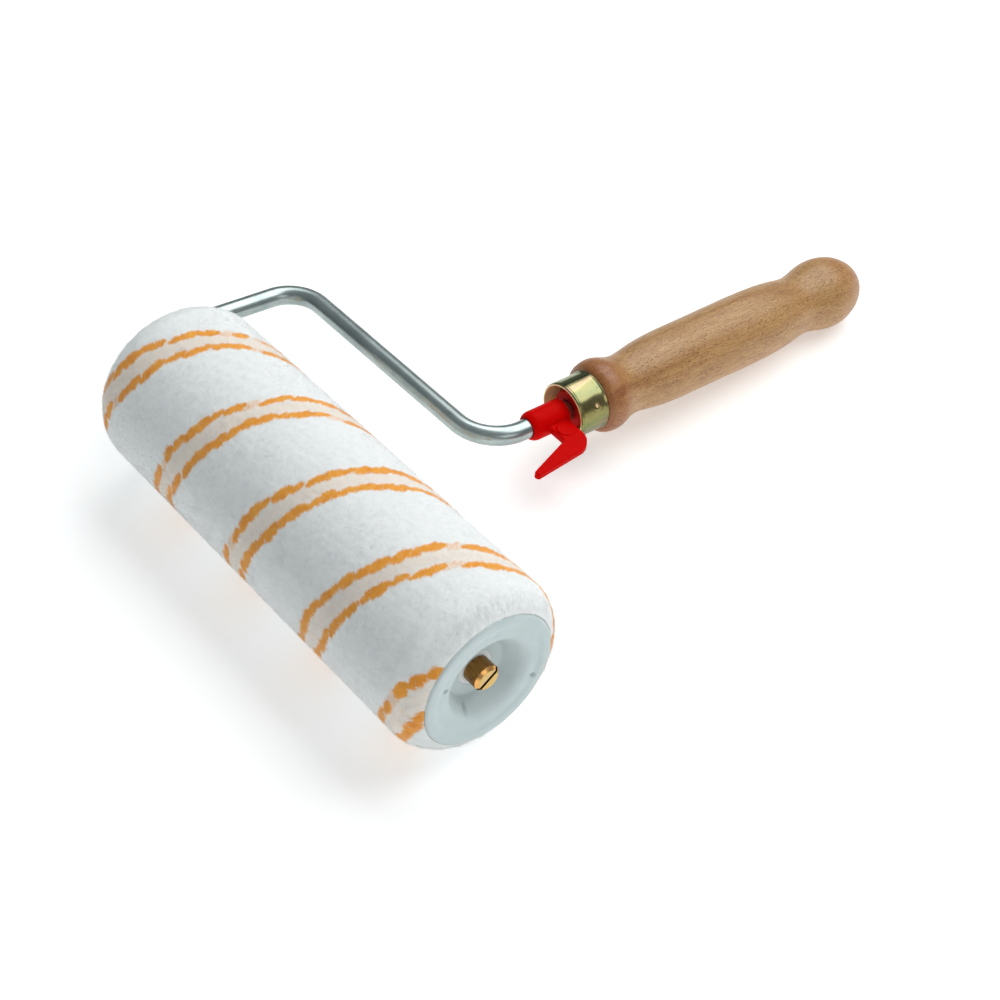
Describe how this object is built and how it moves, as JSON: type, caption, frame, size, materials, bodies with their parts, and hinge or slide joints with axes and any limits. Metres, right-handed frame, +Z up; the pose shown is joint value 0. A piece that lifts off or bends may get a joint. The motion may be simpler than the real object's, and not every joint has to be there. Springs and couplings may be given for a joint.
{
  "type": "paint roller",
  "caption": "Wall paint roller: a plush cover on a plastic core turns on a bent wire frame, held by a slotted brass nut, with a turned wooden handle and a red swivelling bucket hook.",
  "frame": {"origin": "centre of the tool's bounding box, at the surface that it lies on", "axes": "+X along the roller axis towards the nut, +Y along the handle towards its end, +Z up; the tool lies on the roller and on the bulb of the handle, so the wire frame slopes down by 4.4 degrees along +Y"},
  "size_m": [0.2266, 0.3138, 0.0704],
  "materials": {
    "zinc_wire": "bright zinc plating, satin",
    "zinc_ring": "zinc plating",
    "yellow_chromate": "yellow chromated zinc, faintly iridescent",
    "turned_brass": "turned, darkened on the side",
    "red_plastic": "moulded, satin gloss",
    "dark_red_plastic": "moulded",
    "white_plastic": "moulded, soft satin",
    "white_bush": "self-lubricating nylon",
    "core_plastic": "extruded",
    "backing_cloth": "knitted backing, bonded to the core",
    "plush_pile": "white polyamide pile with orange marker threads",
    "varnished_beech": "turned beech, thin clear varnish"
  },
  "bodies": {
    "frame": {"frame_rod": "zinc_wire", "axle_nut": "turned_brass", "stop_ring": "zinc_ring", "thrust_washer": "white_bush", "handle": "varnished_beech", "ferrule": "yellow_chromate", "ferrule_plug": "dark_red_plastic"},
    "roller": {"core_tube": "core_plastic", "cover_backing": "backing_cloth", "pile_cover": "plush_pile", "end_cap_near": "white_plastic", "end_cap_far": "white_plastic", "bush_near": "white_bush", "bush_far": "white_bush"},
    "hook": {"bucket_hook": "red_plastic"}
  },
  "joints": [
    {"name": "roller_spin", "type": "hinge", "parent": "frame", "child": "roller", "pos_m": [0.01741, -0.12175, 0.0352], "axis": [1, 0, 0], "continuous": true},
    {"name": "hook_swivel", "type": "hinge", "parent": "frame", "child": "hook", "pos_m": [0.01741, -0.01756, 0.02711], "axis": [0, 0.997, -0.0774], "range_deg": [-150, 150]}
  ]
}
